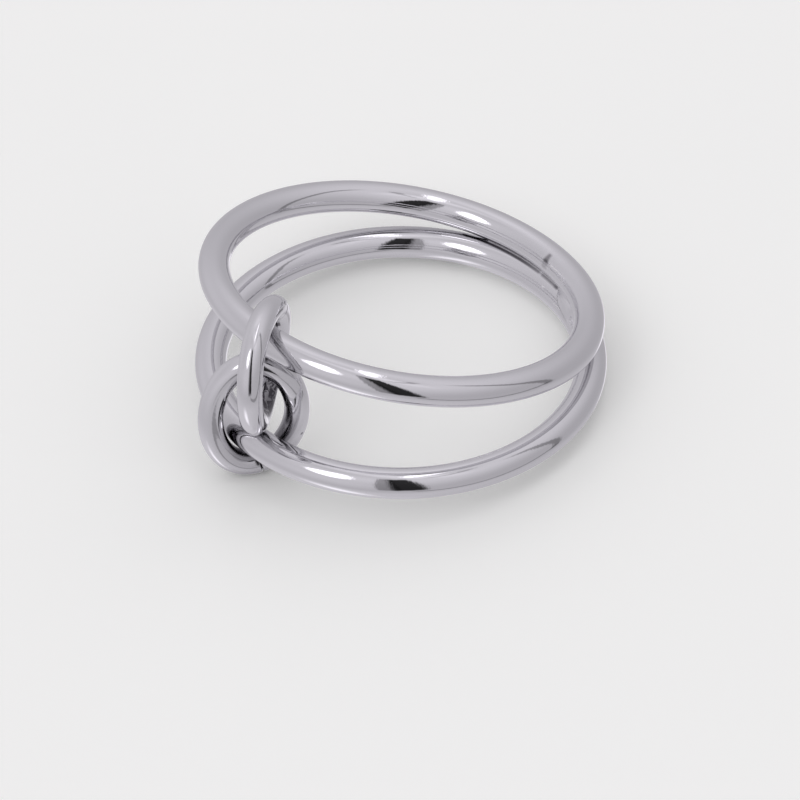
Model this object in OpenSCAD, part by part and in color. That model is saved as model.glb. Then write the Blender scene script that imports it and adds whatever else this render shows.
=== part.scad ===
// Knot ring: two round-wire hoops soldered side by side at the back, fanning open
// towards the front, where two round-wire links tie them together.
// Millimetres. The ring lies on its side on Z = 0, with the links towards -Y.

/* [Band] */
// Inside diameter of each hoop, the finger size
finger_d = 17.6; // [16:0.1:20]
// Diameter of the hoops' wire
band_wire = 1.6; // [1.5:0.05:1.7]
// Angle by which the two hoops fan apart
splay = 13.7; // [13:0.1:14.2]
// Turn of the hinge line about which they fan, from the X axis
splay_turn = 8.5; // [6:0.5:11]
// Centre of the upper hoop, seen from the centre of the lower one
upper_offset = [-0.8, 0.65, 3.63];

/* [Solder joint] */
// Direction of the joint's middle from the centre, -90 being the front
joint_at = 87; // [80:1:95]
// Length of the joint as an angle about the centre
joint_arc = 26; // [12:1:32]
// Width of the solder between the wires, across the band
joint_w = 1.3; // [1:0.05:1.4]

/* [Links] */
// Diameter of the links' wire
link_wire = 1.3; // [1.2:0.05:1.35]
// Half the upper link's centre line, along its two axes
upper_half = [2.95, 3.39];
// Centre of the upper link
upper_at = [0.53, -9, 4.56];
// Turns of the upper link about X, Y and Z
upper_turn = [-85.9, -49.4, 128.3];
// How far the upper link springs out of flat, and where round it
upper_spring = [0.11, 218];
// Half the lower link's centre line, along its two axes
lower_half = [2.17, 3.1];
// Centre of the lower link
lower_at = [0.21, -9.34, 1.36];
// Turns of the lower link about X, Y and Z
lower_turn = [-88.5, -7.1, -121.2];
// How far the lower link springs out of flat, and where round it
lower_spring = [0.12, 80];

/* [Hidden] */

// Radius of a hoop's centre line
hoop_r = (finger_d + band_wire) / 2;

// Turns that lay the ring down on its lower link and the back of the lower hoop
rest_turn = [-4.71, -0.44, 0];
// Where the lower hoop's centre comes to lie
rest_at = [0.41, 0.474, 1.593];

// Rings of facets round a link, and sides of its wire
link_steps = 72;
link_sides = 16;

hoop_fn = 180;
wire_fn = 48;

module at_rest() {
    translate(rest_at) rotate(rest_turn) children();
}

// Places its child as the lower hoop lies at 0, as the upper one lies at 1
module fanned(share) {
    translate(share * upper_offset)
        rotate([0, 0, splay_turn])
            rotate([-share * splay, 0, 0])
                children();
}

module hoop() {
    rotate_extrude($fn = hoop_fn)
        translate([hoop_r, 0])
            circle(d = band_wire, $fn = wire_fn);
}

// Solder that fills the groove between the two wires, halfway between the hoops
module solder() {
    fanned(0.5)
        rotate([0, 0, joint_at - splay_turn - joint_arc / 2])
            rotate_extrude(angle = joint_arc, $fn = hoop_fn)
                translate([hoop_r, 0])
                    square([joint_w, band_wire * 0.8], center = true);
}

// A point on the centre line of a link, t degrees round it
function link_point(half, spring, t) =
    [half.x * cos(t), half.y * sin(t), spring[0] * cos(2 * t - spring[1])];

function unit(v) = v / norm(v);

// Ring of points round the wire at t
function wire_ring(half, spring, t) =
    let (
        here = link_point(half, spring, t),
        along = unit(link_point(half, spring, t + 1) - link_point(half, spring, t - 1)),
        out = unit(cross(along, [0, 0, 1])),
        up = cross(out, along)
    )
    [for (i = [0:link_sides - 1])
        let (a = 360 * i / link_sides)
        here + link_wire / 2 * (cos(a) * out + sin(a) * up)];

// A closed link, as one wire swept round an oval
module link(half, spring) {
    points = [for (s = [0:link_steps - 1]) each wire_ring(half, spring, 360 * s / link_steps)];
    faces = [for (s = [0:link_steps - 1], i = [0:link_sides - 1])
        let (
            s2 = (s + 1) % link_steps,
            i2 = (i + 1) % link_sides
        )
        [s * link_sides + i, s2 * link_sides + i, s2 * link_sides + i2, s * link_sides + i2]];
    polyhedron(points = points, faces = faces, convexity = 4);
}

module twin_band() {
    color([0.72, 0.70, 0.74])
        at_rest() union() {
            fanned(0) hoop();
            fanned(1) hoop();
            solder();
        }
}

module upper_link() {
    color([0.78, 0.76, 0.80])
        at_rest() translate(upper_at) rotate(upper_turn) link(upper_half, upper_spring);
}

module lower_link() {
    color([0.66, 0.64, 0.68])
        at_rest() translate(lower_at) rotate(lower_turn) link(lower_half, lower_spring);
}

twin_band();
upper_link();
lower_link();
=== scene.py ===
import math

import bpy
import numpy as np
from mathutils import Matrix, Vector


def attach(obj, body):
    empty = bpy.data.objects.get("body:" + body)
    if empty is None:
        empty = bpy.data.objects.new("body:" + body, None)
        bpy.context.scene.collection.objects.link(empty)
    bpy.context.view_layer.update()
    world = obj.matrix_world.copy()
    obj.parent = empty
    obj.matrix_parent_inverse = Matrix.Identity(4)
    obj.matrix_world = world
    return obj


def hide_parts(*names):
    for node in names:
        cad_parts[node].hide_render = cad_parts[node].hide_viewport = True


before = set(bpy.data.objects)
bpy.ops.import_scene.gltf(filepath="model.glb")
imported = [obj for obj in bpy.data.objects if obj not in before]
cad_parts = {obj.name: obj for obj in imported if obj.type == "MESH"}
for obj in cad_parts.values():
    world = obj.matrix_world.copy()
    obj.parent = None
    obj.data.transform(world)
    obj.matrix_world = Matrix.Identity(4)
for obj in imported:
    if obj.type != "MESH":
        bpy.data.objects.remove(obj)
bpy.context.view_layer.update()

# The band: two hoops of drawn silver wire, each bent round a mandrel and butt-soldered shut.
# They stand at an angle to each other, close together at the back and fanned open at the front,
# and the whole ring lies on its side on the back of its lower hoop and on its lower link.
MM = 0.001
DEGREE = math.pi / 180
BODY = "root"
finger_d = 17.6 * MM
band_wire = 1.6 * MM
hoop_r = (finger_d + band_wire) / 2
splay = 13.7
splay_turn = 8.5
upper_offset = Vector((-0.8, 0.65, 3.63)) * MM
rest_turn = (-4.71, -0.44, 0)
rest_at = Vector((0.41, 0.474, 1.593)) * MM
hoop_steps = 600
hoop_sides = 80
draw_mark = 0.0012 * MM


def turned(degrees):
    """Turns about X, then Y, then Z."""
    x, y, z = (math.radians(a) for a in degrees)
    return Matrix.Rotation(z, 4, "Z") @ Matrix.Rotation(y, 4, "Y") @ Matrix.Rotation(x, 4, "X")


at_rest = Matrix.Translation(rest_at) @ turned(rest_turn)


def fanned(share):
    """Where a hoop lies: the lower one at 0, the upper one at 1."""
    return (Matrix.Translation(share * upper_offset)
            @ turned((0, 0, splay_turn)) @ turned((-share * splay, 0, 0)))


def placed(place, points):
    """Points of an array with three columns, moved to their place in the row's frame."""
    move = np.array(place)
    return points @ move[:3, :3].T + move[:3, 3]


def unit(rows):
    return rows / np.linalg.norm(rows, axis=-1, keepdims=True)


def smooth_step(low, high, value):
    t = np.clip((value - low) / (high - low), 0, 1)
    return t * t * (3 - 2 * t)


def smooth_piece(name, points, faces, run):
    """A smooth-shaded piece. run is the wire's own map, two numbers for each corner of each face:
    how far round the ring it lies and how far round the wire, each from 0 to 1."""
    mesh = bpy.data.meshes.new(name)
    mesh.from_pydata(points.tolist(), [], faces)
    mesh.polygons.foreach_set("use_smooth", [True] * len(mesh.polygons))
    mesh.uv_layers.new(name="wire").data.foreach_set("uv", run.ravel())
    mesh.update()
    piece = bpy.data.objects.new(name, mesh)
    bpy.context.scene.collection.objects.link(piece)
    return piece


def closed_wire(name, place, turns, centre, radius):
    """A ring of round wire. turns holds degrees round the ring, centre(turns) the wire's middle,
    and radius(turns, sides) how thick it is at each turn and side; side 0 faces out, 90 up."""
    sides = np.linspace(0, 360, radius.sides, endpoint=False)
    middle = centre(turns)
    along = unit(centre(turns + 0.5) - centre(turns - 0.5))
    out = unit(np.cross(along, (0, 0, 1)))
    up = np.cross(out, along)
    thick = radius(turns[:, None], sides[None, :])
    a = np.radians(sides)[None, :, None]
    ring = np.cos(a) * out[:, None] + np.sin(a) * up[:, None]
    points = placed(place, (middle[:, None] + thick[..., None] * ring).reshape(-1, 3))
    n, m = len(turns), len(sides)
    here, side = np.meshgrid(np.arange(n), np.arange(m), indexing="ij")
    after, beside = (here + 1) % n, (side + 1) % m
    corners = [here * m + side, after * m + side, after * m + beside, here * m + beside]
    faces = np.stack(corners, axis=-1).reshape(-1, 4)
    ends = np.append(turns, 360)
    u = np.stack([ends[here], ends[here + 1], ends[here + 1], ends[here]], axis=-1) / 360
    v = np.stack([side, side, side + 1, side + 1], axis=-1) / m
    return smooth_piece(name, points, faces.tolist(), np.stack([u, v], axis=-1))


class HoopWire:
    """The thickness of a hoop's wire: almost even, as drawing and polishing leave it."""
    sides = hoop_sides

    def __call__(self, turns, sides):
        wander = np.sin(np.radians(3 * turns + 40)) + 0.7 * np.sin(np.radians(7 * turns + sides))
        return band_wire / 2 - draw_mark * (1.7 - wander)


def hoop_line(turns):
    a = np.radians(turns)
    return hoop_r * np.stack([np.cos(a), np.sin(a), 0 * a], axis=-1)


class Feed:
    """A socket of a node tree, with Python's arithmetic laid down as Math nodes."""

    def __init__(self, tree, socket=None):
        self.tree, self.socket = tree, socket

    def add(self, kind, settings, sockets, out=0):
        """Adds a node: its settings first, then the values or links of its sockets."""
        made = self.tree.nodes.new(kind)
        for key, value in settings.items():
            setattr(made, key, value)
        for key, value in sockets.items():
            target = made.inputs[key]
            if isinstance(value, Feed):
                self.tree.links.new(value.socket, target)
            else:
                target.default_value = value
        return Feed(self.tree, made.outputs[out] if made.outputs else None)

    def math(self, operation, *others):
        values = dict(enumerate((self, *others)))
        return self.add("ShaderNodeMath", {"operation": operation}, values)

    def __add__(self, other):
        return self.math("ADD", other)

    def __radd__(self, other):
        return self.math("ADD", other)

    def __sub__(self, other):
        return self.math("SUBTRACT", other)

    def __rsub__(self, other):
        return self.add("ShaderNodeMath", {"operation": "SUBTRACT"}, {0: other, 1: self})

    def __mul__(self, other):
        return self.math("MULTIPLY", other)

    def __rmul__(self, other):
        return self.math("MULTIPLY", other)

    def __abs__(self):
        return self.math("ABSOLUTE")

    def parts(self):
        """The three numbers of a vector."""
        split = self.add("ShaderNodeSeparateXYZ", {}, {0: self}).socket.node
        return [Feed(self.tree, out) for out in split.outputs]

    def mixed(self, share, low, high):
        """The colour low, going over to the colour high where share is 1."""
        share_in, low_in, high_in, colour_out = 0, 6, 7, 2
        return self.add("ShaderNodeMix", {"data_type": "RGBA"},
                        {share_in: share, low_in: low, high_in: high}, colour_out)

    def rise(self, low, high):
        """0 below low, 1 above high, and a smooth step between them."""
        return self.add("ShaderNodeMapRange", {"interpolation_type": "SMOOTHSTEP"},
                        {"Value": self, "From Min": low, "From Max": high})

    def within(self, low, high, soft):
        """1 between low and high, fading to 0 over soft outside them."""
        return self.rise(low - soft, low) * (1 - self.rise(high, high + soft))


def polished_silver(name, marks):
    """Polished silver, faintly lavender: fine ripple, hair scratches, haze and painted shade in its
    recesses.
    marks(turn, side) gives how dark and how bright a piece's own marks are, how satin it is and
    how much painted shade its recesses take. The bright marks are painted highlights and the dark ones
    are partly painted shade. turn and side are degrees round the ring and the wire."""
    # The dark colour serves the real marks and the painted shade alike; the white one is for painted
    # highlights.
    clean, dark_mark_and_shade, glint_white = (0.82, 0.816, 0.832, 1), (0.06, 0.055, 0.065, 1), (1, 1, 1, 1)
    haze_scale, wave_scale, ripple_scale, hair_scale = 420.0, 900.0, 5500.0, 3.0
    hair_run, hair_round, hair_width = 0.25, 9.0, 0.012
    wave_height, ripple_height, scratch_depth = 0.003, 0.0016, 0.00004
    mirror, hazed, scratched, glint_rough, satined = 0.05, 0.04, 0.03, 0.45, 0.14
    recess_reach, recess_samples = 2.4 * MM, 4
    finish = bpy.data.materials.new(name)
    finish.use_nodes = True
    tree = finish.node_tree
    tree.nodes.clear()
    feed = Feed(tree)
    place = feed.add("ShaderNodeTexCoord", {}, {}, "Object")
    u, v = feed.add("ShaderNodeUVMap", {"uv_map": "wire"}, {}).parts()[:2]
    turn, side = u * 360, v * 360
    dark, glint, satin, recess_shade = marks(turn, side)
    haze = feed.add("ShaderNodeTexNoise", {"noise_dimensions": "3D"},
                    {"Vector": place, "Scale": haze_scale, "Detail": 3.0, "Roughness": 0.55})
    wave = feed.add("ShaderNodeTexNoise", {"noise_dimensions": "3D"},
                    {"Vector": place, "Scale": wave_scale, "Detail": 1.0, "Roughness": 0.4})
    ripple = feed.add("ShaderNodeTexNoise", {"noise_dimensions": "3D"},
                      {"Vector": place, "Scale": ripple_scale, "Detail": 1.0, "Roughness": 0.5})
    # Hair scratches run round the ring, so their noise is drawn out along the wire
    stretched = feed.add("ShaderNodeCombineXYZ", {}, {
        "X": turn * hair_run,
        "Y": (side * DEGREE).math("COSINE") * hair_round,
        "Z": (side * DEGREE).math("SINE") * hair_round})
    hair = feed.add("ShaderNodeTexNoise", {"noise_dimensions": "3D"},
                    {"Vector": stretched, "Scale": hair_scale, "Detail": 4.0, "Roughness": 0.7})
    scratch = 1 - abs(hair - 0.5).rise(0.0, hair_width)
    open_sky = feed.add("ShaderNodeAmbientOcclusion", {"samples": recess_samples},
                        {"Distance": recess_reach}, "AO")
    # Painted shade: the colour goes towards the dark one where the AO node finds the surface closed
    # in, in recesses and between the parts, standing in for their shade and dim reflections.
    dark = dark + recess_shade * (1 - open_sky.rise(0.1, 0.8))
    silver = feed.mixed(dark, clean, dark_mark_and_shade)
    # Painted highlights: where the glint marks are, the colour goes white, standing in for small edges
    # that catch the lamp.
    tint = feed.mixed(glint, silver, glint_white)
    rough = (mirror + hazed * haze.rise(0.45, 0.75) + scratched * scratch
             + glint_rough * glint + satined * satin)
    relief = wave_height * wave + ripple_height * ripple - scratch_depth * scratch
    bump = feed.add("ShaderNodeBump", {}, {"Height": relief, "Strength": 1.0, "Distance": MM})
    shell = feed.add("ShaderNodeBsdfPrincipled", {}, {
        "Base Color": tint, "Metallic": 1.0, "Roughness": rough, "Normal": bump})
    feed.add("ShaderNodeOutputMaterial", {}, {"Surface": shell})
    return finish


def finished(piece, material, *nodes):
    """Gives a piece its finish, its body and the CAD nodes that it stands for."""
    piece.data.materials.append(material)
    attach(piece, BODY)
    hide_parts(*nodes)


def streak(turn, side, start, end, half):
    """A thin line between two places on a wire, each given as turn and side; half is its half
    width in degrees of side."""
    end_soft, edge_soft = 0.6, 2.5
    slope = (end[1] - start[1]) / (end[0] - start[0])
    off = abs(side - (turn - start[0]) * slope - start[1])
    return turn.within(end[0], start[0], end_soft) * (1 - off.rise(half, half + edge_soft))


def streaks(turn, side, rows):
    """Several of them. A row gives how strong one is, its start, its end and its half width."""
    return sum(strength * streak(turn, side, *where) for strength, *where in rows)


def satin_inside(turn, side):
    """The stretch inside the ring, right of the joint, that the wheel polished least."""
    return turn.within(50, 95, 9) * side.within(120, 225, 15)


# The upper hoop's wire was closed with hard solder. Polishing left a short dark smudge of the seam
# inside the ring; beside it, bright streaks are painted highlights, where the edges of polished facets
# catch the lamp.
hoop_seam = 78.6
# Painted highlights beside the seam, one row for each streak
upper_glints = (
    (1.0, (75.6, 158.4), (69.5, 155.4), 1.6),
    (0.3, (67.5, 167), (64.6, 169), 1.6),
    (0.8, (121, 217), (108.7, 229), 4),
)
# How much painted shade the upper hoop's recesses take
upper_recess_shade = 0.3


def upper_hoop_marks(turn, side):
    width = 0.7 + 0.5 * side.rise(132, 165)
    smudge = 1 - (abs(turn - hoop_seam) - width).rise(-0.7, 0.8)
    dark = smudge * (0.6 * side.within(134, 158, 12) + 0.25 * side.within(160, 182, 14))
    # Painted shade in the upper hoop's recesses, left off along the joint
    recess_shade = upper_recess_shade * (1 - turn.within(70, 124, 6))
    return dark, streaks(turn, side, upper_glints), satin_inside(turn, side), recess_shade


turns = np.linspace(0, 360, hoop_steps, endpoint=False)
upper_hoop = closed_wire("upper_hoop_wire", at_rest @ fanned(1), turns, hoop_line, HoopWire())
finished(upper_hoop, polished_silver("silver_upper_hoop", upper_hoop_marks), "twin_band")


# The lower hoop is made the same. It carries a painted dark line of shade along the groove
# between the hoops, and a row of painted highlights inside the ring, glints where the edges of small
# polished facets catch the lamp.
# Painted highlights inside the lower hoop, one row for each glint
lower_glints = (
    (1.0, (82.5, 141.2), (81.7, 141.2), 2),
    (0.8, (74.9, 160.9), (69.4, 153.4), 1.2),
    (0.9, (66.5, 148.2), (63.8, 143.8), 1.4),
    (0.9, (62.6, 146), (61.8, 146), 2.2),
)
# How much painted shade the lower hoop's recesses take
lower_recess_shade = 0.4


def groove_shade(turn):
    """How dark the painted shade line is along the joint: it thins out to the right and stops at a
    last speck.
    """
    depth = 0.48 + 0.4 * turn.rise(84, 97) + 0.12 * turn.rise(97, 106)
    speck = 0.2 * (1 - turn.rise(78, 79.5))
    gap = 0.6 * turn.within(85.7, 86.5, 0.5)
    return (depth + speck) * turn.within(77.5, 116, 1.2) * (1 - gap)


def lower_hoop_marks(turn, side):
    highest_turn, highest_side, bend = 76.2, 110.6, 0.0197
    groove_side = highest_side - (turn - highest_turn) * (turn - highest_turn) * bend
    # Painted shade: a dark line along the groove where the hoops meet
    dark = (1 - abs(side - groove_side).rise(2.5, 11)) * groove_shade(turn)
    # Painted shade in the lower hoop's recesses, left off along the joint
    recess_shade = lower_recess_shade * (1 - turn.within(70, 112, 6))
    return dark, streaks(turn, side, lower_glints), satin_inside(turn, side), recess_shade


lower_hoop = closed_wire("lower_hoop_wire", at_rest @ fanned(0), turns, hoop_line, HoopWire())
finished(lower_hoop, polished_silver("silver_lower_hoop", lower_hoop_marks), "twin_band")


# The joint: hard solder run into the groove between the hoops at the back. To the right it was
# filed and polished flush inside the ring, and to the left it thins out to a fine fillet, which the
# painted shade line of the groove darkens.
joint_from, joint_to = 70.0, 117.0
joint_steps = 236
fillet_steps = 12
inside_fillet, inside_flush = 0.06 * MM, 3.2 * MM
outside_fillet, outside_flush = 0.03 * MM, 0.7 * MM
least_bridge = 0.02 * MM


def fill_inside(azimuth):
    """Radius of the fillet inside the ring, at each angle along the joint."""
    flush = inside_flush * (1 - smooth_step(74, 85.5, azimuth)) * smooth_step(70, 74, azimuth)
    return inside_fillet + flush


def fill_outside(azimuth):
    """The same outside the ring."""
    flush = outside_flush * smooth_step(70, 76, azimuth) * (1 - smooth_step(90, 98, azimuth))
    return outside_fillet + flush


def groove_fill(name, fill_in, fill_out):
    """The solder between the hoops: one hollow fillet inside the ring and one outside it, each
    an arc that touches both wires. fill_in and fill_out give the arcs' radii along the joint."""
    azimuth = np.linspace(joint_from, joint_to, joint_steps)
    lower = placed(fanned(0), hoop_line(azimuth - splay_turn))
    ring = placed(fanned(1), hoop_line(np.arange(0, 360, 0.05)))
    upper = ring[np.linalg.norm(lower[:, None] - ring[None], axis=2).argmin(axis=1)]
    middle, across = (lower + upper) / 2, upper - lower
    apart = np.linalg.norm(across, axis=1)
    across = across / apart[:, None]
    inward = unit(np.cross(across, np.gradient(middle, axis=0)))
    inward = inward * np.sign(-(inward * middle).sum(axis=1))[:, None]
    rows = []
    for hand, fill in ((1, fill_in), (-1, fill_out)):
        arc = np.maximum(fill(azimuth), apart / 2 - band_wire / 2 + least_bridge)
        lean = np.arcsin(apart / 2 / (band_wire / 2 + arc))
        top = middle + hand * inward * ((band_wire / 2 + arc) * np.cos(lean))[:, None]
        for share in np.linspace(-1, 1, fillet_steps):
            a = (hand * share * lean)[:, None]
            rows.append(top + arc[:, None] * (across * np.sin(a) - hand * inward * np.cos(a)))
    n, m = joint_steps, len(rows)
    points = placed(at_rest, np.stack(rows, axis=1).reshape(-1, 3))
    faces = [(s * m + i, s * m + (i + 1) % m, (s + 1) * m + (i + 1) % m, (s + 1) * m + i)
             for s in range(n - 1) for i in range(m)]
    faces += [tuple(range(m))[::-1], tuple(range((n - 1) * m, n * m))]
    along = np.repeat((azimuth - splay_turn) / 360, m)
    around = np.tile(np.arange(m) / m, n)
    run = np.stack([along, around], axis=-1)[np.concatenate(faces)]
    return smooth_piece(name, points, faces, run)


def solder_marks(turn, side):
    """The painted shade line of the groove covers the lower half of the fillet inside the ring."""
    dark = groove_shade(turn) * (1 - side.rise(20, 110))
    satin = 1 - turn.rise(95, 104)
    return dark, 0.0, satin, 0.0


solder = groove_fill("joint_solder", fill_inside, fill_outside)
finished(solder, polished_silver("silver_solder", solder_marks), "twin_band")


# The links: two closed rings of thinner round wire that hang in each other at the front, the upper
# one round the upper hoop and the lower one round the lower hoop. Each is slightly sprung.
link_wire = 1.3 * MM
link_steps = 288
link_sides = 56
# How much painted shade the links' recesses take
link_recess_shade = 0.8


class LinkWire:
    """The thickness of a link's wire, with the notch where its two ends meet."""
    sides = link_sides
    notch_half = 1.6

    def __init__(self, seam, depth):
        self.seam, self.depth = seam, depth

    def __call__(self, turns, sides):
        off = np.abs((turns - self.seam + 180) % 360 - 180)
        return link_wire / 2 - self.depth * (1 - smooth_step(0, self.notch_half, off)) + 0 * sides


def link_line(half, spring):
    """The middle of a link's wire: an oval, sprung out of flat twice round."""
    def line(turns):
        a = np.radians(turns)
        lift = spring[0] * np.cos(2 * a - math.radians(spring[1]))
        return np.stack([half[0] * np.cos(a), half[1] * np.sin(a), lift], axis=-1)
    return line


def turns_round(seam):
    """Even steps round a link, with finer ones at its seam."""
    fine_half, fine_step, clear_of_fine = 2, 0.25, 2.5
    even = np.linspace(0, 360, link_steps, endpoint=False)
    fine = seam + np.arange(-fine_half, fine_half + fine_step / 2, fine_step)
    far = np.abs((even - seam + 180) % 360 - 180) > clear_of_fine
    return np.sort(np.append(even[far], fine % 360))


def link_piece(name, at, turn, half, spring, seam, notch):
    place = at_rest @ Matrix.Translation(at) @ turned(turn)
    wire = LinkWire(seam, notch)
    return closed_wire(name, place, turns_round(seam), link_line(half, spring), wire)


# The upper link: its ends are closed to a faint seam at the top. Painted shade darkens the inside
# of its far arm and dims its rim near the top, where it also has a pit, a fine line and three painted
# highlights.
upper_half = (2.95 * MM, 3.39 * MM)
upper_at = Vector((0.53, -9, 4.56)) * MM
upper_turn = (-85.9, -49.4, 128.3)
upper_spring = (0.11 * MM, 218)
upper_seam, upper_notch = 2.0, 0.03 * MM


def upper_link_marks(turn, side):
    from_bottom = abs(turn - 180)
    pit = turn.within(353, 359, 1) * side.within(291, 306, 3)
    line = streak(turn, side, (344, 280), (323, 288), 2.5)
    # Painted shade dimming a reflected rim near the top
    rim_shade = from_bottom.rise(142, 154) * side.within(252, 286, 8)
    hollow = turn.within(18, 25, 3) * side.within(188, 202, 5)
    run = turn.add("ShaderNodeCombineXYZ", {}, {"X": turn * 0.09, "Y": side * 0.035})
    curl = turn.add("ShaderNodeTexNoise", {"noise_dimensions": "2D"},
                    {"Vector": run, "Scale": 1.0, "Detail": 1.0, "Roughness": 0.5, "Distortion": 1.2})
    # Painted shade inside the far arm, mottled by the curl noise
    inner_shade = turn.within(104, 166, 5) * side.within(186, 262, 7) * (0.5 + 0.45 * curl.rise(0.42, 0.55))
    dark = 0.8 * pit + 0.5 * line + 0.4 * rim_shade + 0.8 * hollow + inner_shade
    # Three painted highlights near the top, glints on small edges
    glint = (turn.within(347, 349.5, 1.2) * side.within(292, 298, 3)
              + turn.within(6.5, 8.5, 1.2) * side.within(205, 210, 3)
              + turn.within(13.5, 16, 1.2) * side.within(207, 213, 3))
    return dark, glint, 0.0, link_recess_shade


upper_link = link_piece("upper_link_wire", upper_at, upper_turn, upper_half, upper_spring,
                        upper_seam, upper_notch)
finished(upper_link, polished_silver("silver_upper_link", upper_link_marks), "upper_link")


# The lower link: its ends meet in an open cleft near the lower hoop. Painted shade darkens the inside
# of its two bends, and it has one small nick.
lower_half = (2.17 * MM, 3.1 * MM)
lower_at = Vector((0.21, -9.34, 1.36)) * MM
lower_turn = (-88.5, -7.1, -121.2)
lower_spring = (0.12 * MM, 80)
lower_seam, lower_notch = 107.5, 0.13 * MM
cleft_half = 0.6


def lower_link_marks(turn, side):
    cleft = turn.within(lower_seam - cleft_half, lower_seam + cleft_half, 1) * side.within(60, 118, 10)
    nick = turn.within(166, 168, 0.8) * side.within(46, 56, 4)
    # Painted shade on the inside of both bends
    bend = turn.within(26, 72, 8) * side.within(162, 196, 8)
    inner_shade = turn.within(180, 232, 8) * side.within(120, 146, 6)
    dark = 0.8 * cleft + 0.6 * nick + 0.75 * bend + 0.55 * inner_shade
    return dark, 0.0, 0.0, link_recess_shade


lower_link = link_piece("lower_link_wire", lower_at, lower_turn, lower_half, lower_spring,
                        lower_seam, lower_notch)
finished(lower_link, polished_silver("silver_lower_link", lower_link_marks), "lower_link")


# The floor: a plain pale sheet. It shows to the camera and takes the ring's soft shadow, while
# the silver mirrors the tent below it.
floor_half = 3.0
paper_looks = {
    "Base Color": (0.94, 0.96, 0.905, 1),
    "Roughness": 0.9,
    "Specular IOR Level": 0.0,
    "Emission Color": (1, 1, 1, 1),
    "Emission Strength": 0.1,
}
floor_mesh = bpy.data.meshes.new("floor")
floor_mesh.from_pydata([(-floor_half, -floor_half, 0), (floor_half, -floor_half, 0),
                        (floor_half, floor_half, 0), (-floor_half, floor_half, 0)], [], [(0, 1, 2, 3)])
floor = bpy.data.objects.new("floor", floor_mesh)
bpy.context.scene.collection.objects.link(floor)
floor.visible_glossy = False
paper = bpy.data.materials.new("floor_paper")
paper.use_nodes = True
for socket, value in paper_looks.items():
    paper.node_tree.nodes["Principled BSDF"].inputs[socket].default_value = value
floor_mesh.materials.append(paper)

# The light tent: pale cloth all round, lit by a square lamp through its left wall and a long one
# over its roof, with a dark slit that the photographer looks in through. Thin dark seams run up
# its far corner, along its roof and along the table, where the two lamps leave pools of light.
cloth_colour = (1.03, 1, 1.065, 1)
cloth_light = 1.17
mirrored_less = 0.19
lamp_heading = 243
tent = bpy.data.worlds.new("light_tent")
bpy.context.scene.world = tent
tent.use_nodes = True
tent.node_tree.nodes.clear()
cloth = Feed(tent.node_tree)
gx, gy, gz = cloth.add("ShaderNodeTexCoord", {}, {}, "Generated").parts()
# Degrees above the level, and degrees round from +X and from -X
rise = gz.math("ARCSINE") * (1 / DEGREE)
heading = gy.math("ARCTAN2", gx) * (1 / DEGREE)
behind = (gy * -1).math("ARCTAN2", gx * -1) * (1 / DEGREE)


def patch(across, up, centre, half, turn, soft):
    """A soft-edged oval of light, 1 inside and 0 outside."""
    c, s = math.cos(math.radians(turn)), math.sin(math.radians(turn))
    a = (across - centre[0]) * (c / half[0]) + (up - centre[1]) * (s / half[0])
    b = (across - centre[0]) * (-s / half[1]) + (up - centre[1]) * (c / half[1])
    return 1 - (a * a + b * b).math("SQRT").rise(1 - soft, 1 + soft)


# The cloth is darkest just below the level, palest high up, and a little paler by the side lamp
wall = 0.606 - 0.098 * rise.rise(-50, -22) + 0.197 * rise.rise(-5, 60) - 0.1 * rise.rise(55, 88)
lamp_side = (heading * DEGREE - math.radians(lamp_heading)).math("COSINE")
wall = wall * (1 + 0.087 * lamp_side * (1 - rise.rise(10, 70)))

# Its seams, each a few degrees wide
level = (1 - gz * gz).math("SQRT")
corner = 49 + 12 * rise.rise(25, 62)
corner_seam = (1 - (abs(heading - corner) * level).rise(1.6, 4.2)) * rise.within(-20, 50, 12)
table_edge = (heading - 8) * (heading - 8) * 0.0055 - 30
table_seam = (1 - abs(rise - table_edge).rise(1.6, 4.2)) * heading.within(-28, 47, 6)
roof_seam = (1 - abs(rise - 69.5).rise(1.2, 3.2)) * heading.within(0, 58, 6)
wall = wall * (1 - 0.5 * corner_seam) * (1 - 0.42 * table_seam) * (1 - 0.4 * roof_seam)

# The slit, and the half-shaded strip beside it
slit_edge = heading.within(-47.7, -38, 2.5) * rise.within(-9.6, 64, 11)
slit = heading.within(-38.5, -26, 5) * rise.within(-9.6, 62, 10)
wall = wall * (1 - 0.52 * slit_edge) * (1 - 0.96 * slit)

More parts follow.
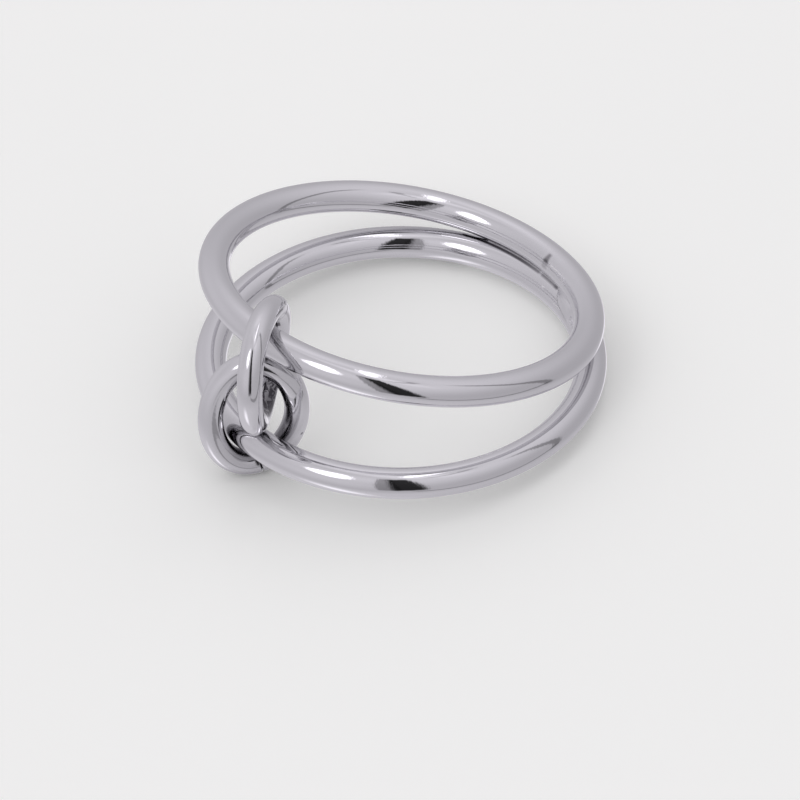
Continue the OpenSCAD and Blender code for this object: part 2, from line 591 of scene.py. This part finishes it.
# Broad folds: how much paler each is, the angle it is placed by, its centre and its half size
folds = (
    (-0.13, behind, (45, 46), (40, 34)),
    (0.15, heading, (-75, 5), (32, 15)),
    (0.15, behind, (25, 2), (32, 17)),
    (0.12, behind, (-30, 56), (24, 12)),
)
for paler, around, centre, half in folds:
    wall = wall * (1 + paler * patch(around, rise, centre, half, 0, 0.9))

# The two lamps, the roof's glow round the long one, and the pools that they leave on the table
side_lamp = patch(heading, rise, (-78.7, 48), (13.7, 16.3), 25, 0.3)
roof_lamp = patch(gx, gy, (-0.035, 0.2), (0.28, 0.059), 134, 0.3)
roof_glow = patch(gx, gy, (0.1, 0.03), (0.35, 0.121), 12, 0.9)
table_pool = patch(heading, rise, (-85.5, -59), (14, 13), 0, 0.9)
far_pool = patch(heading, rise, (123.5, -40.6), (10.5, 7), 0, 0.4)
above = gz.rise(0.2, 0.4)
glow = wall + 1.3 * side_lamp + (0.8 * roof_lamp + 0.23 * roof_glow) * above
glow = (glow + 0.53 * table_pool + 0.4 * far_pool) * cloth_light
seen = cloth.add("ShaderNodeLightPath", {}, {}, "Is Camera Ray")
mirrored = cloth.add("ShaderNodeLightPath", {}, {}, "Is Glossy Ray")
glow = glow * (1 - seen) * (1 - mirrored_less * mirrored) + seen
shine = cloth.add("ShaderNodeBackground", {}, {"Color": cloth_colour, "Strength": glow})
cloth.add("ShaderNodeOutputWorld", {}, {"Surface": shine})

# The camera looks down through the slit, far off with a long lens, as the photograph does. From
# further off than 1.9 m the other views would set the ring beyond the end of what they draw.
right = Vector((0.59112, 0.80398, -0.06471))
upward = Vector((-0.51758, 0.43963, 0.73406))
towards = Vector((0.61863, -0.40042, 0.67599))
aim = Vector((1.3626, -0.4077, 0.199)) * MM
reach = 1.8
seen_width = 40.404 * MM
axes = Matrix((right, upward, towards)).transposed().to_4x4()
lens = bpy.data.cameras.new("camera")
lens.sensor_width = 36
lens.lens = lens.sensor_width * reach / seen_width
lens.clip_start = 0.01
camera = bpy.data.objects.new("camera", lens)
camera.matrix_world = Matrix.Translation(aim + towards * reach) @ axes
bpy.context.scene.collection.objects.link(camera)
bpy.context.scene.camera = camera
bpy.context.scene.view_settings.view_transform = "Standard"
